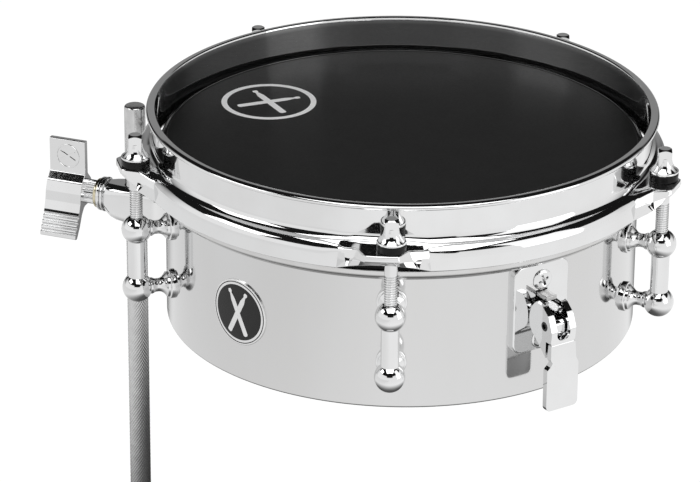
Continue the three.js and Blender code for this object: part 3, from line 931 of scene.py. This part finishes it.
def make_head_mark():
    """White ring and crossed sticks printed on the film."""
    low, high = HEAD_Z - 0.05, HEAD_Z + 0.03
    spot = Matrix.Translation((-58.0, 37.9, 0))
    ring = turn([(18.3, low), (20.8, low), (20.8, high), (18.3, high)], 128, closed=True)
    ring.data.transform(spot)
    finish(ring, "head_ring", "drum", INK, angle=0)
    sticks = crossed_sticks(1.0, (22, 118), low, high)
    sticks.data.transform(spot)
    finish(sticks, "head_sticks", "drum", INK, angle=0)


def wrap(obj, height):
    """Bends a flat drawing (x along the tangent, y up, z out) round the shell, centred at height."""
    for v in obj.data.vertices:
        r, a = SHELL_R + v.co.z, v.co.x / SHELL_R
        v.co = Vector((r * math.cos(a), r * math.sin(a), height + v.co.y))
    return obj


def flat_grid_disc(radius, low, high, rings=14, steps=96):
    """Closed disc with enough rings to bend, its upper edge rounded."""
    profile = [(0, low)] + [(radius * k / rings, low) for k in range(1, rings + 1)]
    profile += [(radius, high - 0.15), (radius - 0.1, high - 0.04)]
    profile += [((radius - 0.3) * k / rings, high) for k in range(rings, 0, -1)] + [(0, high)]
    return turn(profile, steps)


def make_badge():
    """Silver disc with a black line, a black field and crossed sticks."""
    disc = wrap(flat_grid_disc(BADGE_R, -0.3, 0.75), BADGE_Z)
    finish(disc, "badge_disc", "drum", SILVER, ["badge"], angle=BADGE_AT)
    line = turn([(13.35, 0.5), (13.75, 0.5), (13.75, 0.8), (13.35, 0.8)], 128, closed=True)
    finish(wrap(line, BADGE_Z), "badge_line", "drum", ENAMEL, angle=BADGE_AT)
    field = wrap(flat_grid_disc(12.4, 0.5, 0.84), BADGE_Z)
    finish(field, "badge_field", "drum", ENAMEL, angle=BADGE_AT)
    sticks = crossed_sticks(0.74, (64, 116), 0.75, 1.0)
    finish(wrap(sticks, BADGE_Z), "badge_sticks", "drum", SILVER, angle=BADGE_AT)


# ---- strainer ----
def make_strainer_plate():
    """Plate with its back bent to the shell, and the nose that carries the pivot."""
    plate = prism(rounded_rect(-13.6, 13.6, 20.8, 59.8, 4.5, 8), 99.6, 103.9, along="x")
    bevel(plate, 0.7, 3, 50)
    cut(plate, cylinder(101.45, 0, 90, 256), foot_slot(98, 106))
    nose = [(103, 32.0), (115.9, 32.0, 1.0), (117.4, 33.4, 1.0), (117.4, 37.4, 1.2), (115.8, 38.6, 1.2),
            (103, 38.6)]
    nose = bevel(prism(rounded(nose, 4), -2.6, 2.6), 0.35, 3, 50)
    add(plate, nose)
    cut(plate, cylinder(PIVOT_BORE, -5, 5, about="y", at=(PIVOT_R, 0, PIVOT_Z)))
    finish(plate, "strainer_base", "drum", CHROME, ["strainer_plate"], angle=STRAINER_AT, sharp=32)


def make_lever():
    """Fork of two cheeks on the pivot, with its tongue hanging from it."""
    wide, fork, tongue_wide = 6.1, 3.25, 7.9
    side = arc((PIVOT_R, PIVOT_Z), 10.7, 180, 128, 7)
    side += rounded([
        (108.7, 45.6, 1), (113.4, 45.2, 3), (117.9, 41.6, 4), (120.4, 35.4, 3), (119.7, 29.0, 0.4),
        (118.0, 22.4, 0.5), (116.8, 22.6), (112.2, 26.9), (106.6, 31.0), (104.7, 33.6)], 4, closed=False)
    yoke = prism(side, -wide, wide)
    front = [(-wide, 50), (-wide, 29.0, 4.2), (-1.5, 28.2), (1.5, 28.2), (wide, 29.0, 4.2), (wide, 50)]
    front = rounded(front, 6)
    combine(yoke, add(prism(front, 116.2, 126, along="x"), box(90, 116.3, -6.2, 6.2, 18, 50)), "INTERSECT")
    mouth = rounded([(-fork, 52), (-fork, 31.2, 2.9), (fork, 31.2, 2.9), (fork, 52)], 6)
    cut(yoke, prism(mouth, 99, 126, along="x"), box(99, 113.2, -fork, fork, 18, 33))
    outline = [(-tongue_wide, 0.3, 2.2), (tongue_wide, 0.3, 2.2), (tongue_wide, 19.6, 1.2), (6.6, 22.2, 1.5),
               (wide, 29.6), (-wide, 29.6), (-6.2, 23.4, 0.8), (-5.2, 21.9, 0.8), (-6.4, 20.4, 0.8),
               (-tongue_wide, 19.0, 1.0)]
    tongue = prism(rounded(outline, 5), 117.6, 120.4, along="x")
    mould = prism([(117.9, 0), (118.6, 0), (121, 0), (120.2, 30), (118.2, 30), (117.6, 23)], -9, 9)
    combine(tongue, mould, "INTERSECT")
    add(yoke, tongue)
    cut(yoke, cylinder(PIVOT_BORE, -9, 9, about="y", at=(PIVOT_R, 0, PIVOT_Z)))
    bevel(yoke, 0.55, 3, 28)
    finish(yoke, "throw_lever", "lever", CHROME, ["throw_off_lever"], angle=STRAINER_AT, sharp=30)


def make_slide():
    """Slide behind the shell; its foot passes through the slot and rests over the lever's cheeks."""
    slide = box(94.5, 96.9, -8.1, 8.1, 36, 74)
    add(slide, box(96, 111.2, -SLIDE_HALF, SLIDE_HALF, 45.7, 47.6))
    cut(slide, *[cylinder(2.0, 92, 99, 24, about="x", at=(0, 0, z)) for z in (58, 66)])
    bevel(slide, 0.3, 3, 50)
    finish(slide, "slide_foot", "snares", STEEL, ["snare_slide"], angle=STRAINER_AT)


def make_pivot_pin():
    """Pin across the lever with a hexagon socket in each end."""
    profile = [(0, -6.3), (1.9, -6.3, 0.2), (2.1, -6.05), (1.5, -5.9), (1.5, 5.9), (2.1, 6.05), (1.9, 6.3, 0.2),
               (0, 6.3)]
    pin = turn(rounded(profile, 3, closed=False), 32, about="y", at=(PIVOT_R, 0, PIVOT_Z))
    for end in (-1, 1):
        socket = arc((PIVOT_R, PIVOT_Z), 1.25, 0, 360, 6)[:-1]
        cut(pin, prism(socket, *sorted((end * 4.6, end * 7))))
    finish(pin, "lever_pin", "drum", DARK, ["pivot_pin"], angle=STRAINER_AT)


# ---- snare wires ----
def coil(x0, x1, y, z, radius, wire, pitch, around=9, sides=5):
    """Closed helix of round wire along x."""
    count = round((x1 - x0) / pitch * around)
    verts, rings = [], []
    for i in range(count + 1):
        a = TAU * i / around
        x = x0 + (x1 - x0) * i / count
        out = Vector((0, math.cos(a), math.sin(a)))
        along = Vector((pitch / TAU, -math.sin(a) * radius, math.cos(a) * radius)).normalized()
        level = along.cross(out)
        rings.append(list(range(len(verts), len(verts) + sides)))
        for k in range(sides):
            b = TAU * k / sides
            verts.append(Vector((x, y, z)) + out * (radius + wire * math.cos(b)) + level * wire * math.sin(b))
    faces = grid(rings) + [tuple(rings[0]), tuple(rings[-1])]
    return verts, faces


def make_snares():
    """Coiled wires side by side on two end strips."""
    wires, spacing = 12, 3
    verts, faces = [], []
    for i in range(wires):
        y = spacing * (i - (wires - 1) / 2)
        more, quads = coil(-57, 57, y, 78.05, 0.58, 0.17, 1.45)
        faces += [tuple(n + len(verts) for n in quad) for quad in quads]
        verts += more
    finish(draw(verts, faces), "snare_coils", "snares", WIRE, ["snare_wires"], angle=STRAINER_AT)
    for name, x in (("snare_bar_outer", 54), ("snare_bar_inner", -60)):
        bar = bevel(box(x, x + 6, -17.5, 17.5, 76.95, 78.0), 0.25, 2)
        finish(bar, name, "snares", STEEL, angle=STRAINER_AT)


# ---- mount ----
def make_mount_rod():
    """Knurled rod with a smooth upper end."""
    low, knurl_low, knurl_high = -AXIS.z / MM, -AXIS.z / MM + 2.0, 17.0
    steps, pitch = 96, 1.9
    rows = round((knurl_high - knurl_low) / pitch * 4)
    verts, rings = [(0, 0, low)], [[0]]

    def ring(radius, z):
        rings.append(list(range(len(verts), len(verts) + steps)))
        for k in range(steps):
            a = TAU * k / steps
            verts.append((radius(k) * math.cos(a), radius(k) * math.sin(a), z))

    for radius, z in ((4.0, low), (4.45, low + 0.25), (4.6, low + 0.8)):
        ring(lambda k, r=radius: r, z)
    for j in range(rows + 1):
        fade = min(1, j / 4, (rows - j) / 4)

        def pyramid(k, j=j, fade=fade):
            first, second = (k + j) / 4 % 1, (k - j) / 4 % 1
            peak = min(1 - abs(2 * first - 1), 1 - abs(2 * second - 1))
            return ROD_R - 0.30 * (1 - peak) * fade - 0.05 * (1 - fade)
        ring(pyramid, knurl_low + (knurl_high - knurl_low) * j / rows)
    smooth_end = ((4.7, knurl_high + 0.6), (4.7, ROD_TOP - 1.3), (4.62, ROD_TOP - 0.75),
                  (4.35, ROD_TOP - 0.25), (3.9, ROD_TOP))
    for radius, z in smooth_end:
        ring(lambda k, r=radius: r, z)
    rings.append([len(verts)])
    verts.append((0, 0, ROD_TOP))
    verts = [Vector(v) + Vector((ROD_AT, 0, 0)) for v in verts]
    rod = draw(verts, grid(rings))
    finish(rod, "knurled_rod", "rod", KNURL, ["mount_rod"], angle=MOUNT_AT, sharp=50)


def superellipse(x, half_y, half_z, z, power, steps=64):
    """Section at x, between an ellipse (power 2) and a rectangle (a high power)."""

    def bulge(value):
        return math.copysign(abs(value) ** (2 / power), value)

    turns = [TAU * k / steps for k in range(steps)]
    return [(x, half_y * bulge(math.cos(a)), z + half_z * bulge(math.sin(a))) for a in turns]


def make_bracket():
    """Cast housing on a foot plate, bored for the mounting rod, with a flat disc under the clamp washer."""
    body = loft([superellipse(*row) for row in (
        (104.0, 5.6, 7.4, 28.7, 5.0), (110.5, 5.8, 7.8, 28.7, 5.0), (112.6, 7.6, 8.25, 28.7, 5.0),
        (115.0, 8.0, 8.3, 28.7, 5.5), (124.0, 8.0, 8.3, 28.7, 5.5), (129.0, 8.0, 8.3, 28.7, 5.0),
        (132.5, 7.9, 8.15, 28.85, 4.2), (135.4, 7.6, 7.7, 29.2, 3.4), (137.4, 7.1, 7.1, 29.7, 2.8),
        (138.8, 6.6, 6.6, 30.0, 2.3), (139.4, 6.3, 6.3, 30.2, 2.0))])
    disc = [(0, 138.6), (7.0, 138.4, 0.4), (7.8, 138.9, 0.4), (7.8, 139.8, 0.4), (7.2, 140.2, 0.2), (0, 140.2)]
    disc = turn(rounded(disc, 4, closed=False), 64, about="x", at=(0, 0, BOLT_Z))
    foot = bevel(prism(rounded_rect(-10, 10, 17.5, 41.5, 3, 6), 100, 104.4, along="x"), 0.6, 3, 50)
    cut(foot, cylinder(101.5, -5, 90, 256))
    add(body, disc, foot)
    cut(body, cylinder(5.05, 0, 60, 48, at=(ROD_AT, 0, 0)))
    cut(body, cylinder(3.35, 120, 145, about="x", at=(0, 0, BOLT_Z)))
    bevel(body, 0.35, 3, 40)
    finish(body, "mount_casting", "drum", CHROME, ["mount_bracket"], angle=MOUNT_AT, sharp=42)


def make_clamp():
    """The chrome washer and the brass one between the bracket and the wing nut."""
    for name, node, low, high, radius, paint, slot in (
            ("clamp_washer", "plain_washer", 140.3, 142.0, 7.6, CHROME, "chrome"),
            ("brass_spacer", "brass_washer", 142.1, 143.7, 6.7, BRASS, "brass")):
        edge = (high - low) * 0.32
        profile = rounded([(3.3, low, 0.2), (radius, low, edge), (radius, high, edge), (3.3, high, 0.2)], 5)
        washer = turn(profile, 64, about="x", closed=True, at=(0, 0, BOLT_Z))
        finish(washer, name, "clamp_washers", paint, [node], angle=MOUNT_AT)


def wing_section():
    """Outline of the wing nut in y and z, with four grip grooves on its lower wing."""
    z = BOLT_Z
    grip_low, grip_high = Vector((13.9, z - 17.6)), Vector((9.3, z - 8.8))
    along = grip_low - grip_high
    out = Vector((-along.y, along.x)).normalized()
    grip = []
    for k in range(4):
        for t, depth in ((0.01, 0.0), (0.06, 0.8), (0.11, 0.8), (0.17, 0.0)):
            p = grip_high + along * (k * 0.245 + t) - out * depth
            grip.append((p.x, p.y, 0.2))
    upper = [(1.4, z + 23.8, 0.6), (1.4, z + 8.4, 1.5), (4.7, z + 4.9, 3), (6.6, z + 0.6, 4), (7.3, z - 4.0, 3),
             (8.6, z - 7.6, 3)]
    back = [(13.6, z - 18.6, 0.6), (11.6, z - 19.3, 0.8), (8.2, z - 14.6, 3), (5.6, z - 9.6, 3),
            (3.0, z - 6.6, 3), (-2.4, z - 6.4, 3), (-5.8, z - 3.2, 3), (-6.2, z + 0.8, 3),
            (-4.6, z + 4.8, 3), (-1.4, z + 8.2, 1.5), (-1.4, z + 23.8, 0.6)]
    return rounded(upper + grip + back, 8)


def splined_neck(splines=26, steps=208):
    """Outline in y and z of the wing nut's ribbed neck."""
    outline = []
    for k in range(steps):
        a = TAU * k / steps
        r = 5.2 + 0.22 * math.cos(splines * a)
        outline.append((r * math.cos(a), BOLT_Z + r * math.sin(a)))
    return outline


def make_wing_nut():
    """Wing nut with a ribbed neck and a plain emblem, bored for the eyebolt."""
    wing = bevel(prism(wing_section(), WING_LOW, WING_HIGH, along="x"), 0.45, 3, 60)
    neck = prism(splined_neck(), 143.9, 151, along="x")
    ring = rounded([(5.0, 0.9, 0.2), (5.0, 1.8, 0.2), (5.7, 1.8, 0.2), (5.7, 0.9, 0.2)], 2)
    emblem = turn(ring, 64, about="y", closed=True, at=EMBLEM_AT)
    sticks = crossed_sticks(0.29, (30, 150), 1.0, 1.75)
    upright = Matrix.Rotation(math.pi / 2, 4, "X") @ Matrix.Scale(-1, 4, (0, 0, 1))
    sticks.data.transform(Matrix.Translation(EMBLEM_AT) @ upright)
    add(wing, neck, emblem, sticks)
    cut(wing, cylinder(3.3, 142, 163, about="x", at=(0, 0, BOLT_Z)))
    finish(wing, "wing_grip", "wing_nut", CHROME, ["wing_nut"], angle=MOUNT_AT, sharp=34)


# ---- CAD nodes that stay ----
def keep_nodes():
    """Inner pieces that show as the CAD made them, in zinc steel with softened edges."""
    for name in ("slide_guide", "snare_arm", "arm_screw_upper", "arm_screw_lower", "eyebolt"):
        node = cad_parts[name]
        mod = node.modifiers.new("edge", "BEVEL")
        mod.width = 0.3 * MM
        mod.segments = 2
        mod.limit_method = "ANGLE"
        mod.angle_limit = math.radians(40)
        node.material_slots[0].material = STEEL


make_shell()
make_head()
make_flesh_hoop()
make_counter_hoop()
make_lugs()
make_tension_rods()
make_screws()
make_head_mark()
make_badge()
make_strainer_plate()
make_lever()
make_slide()
make_pivot_pin()
make_snares()
make_mount_rod()
make_bracket()
make_clamp()
make_wing_nut()
keep_nodes()
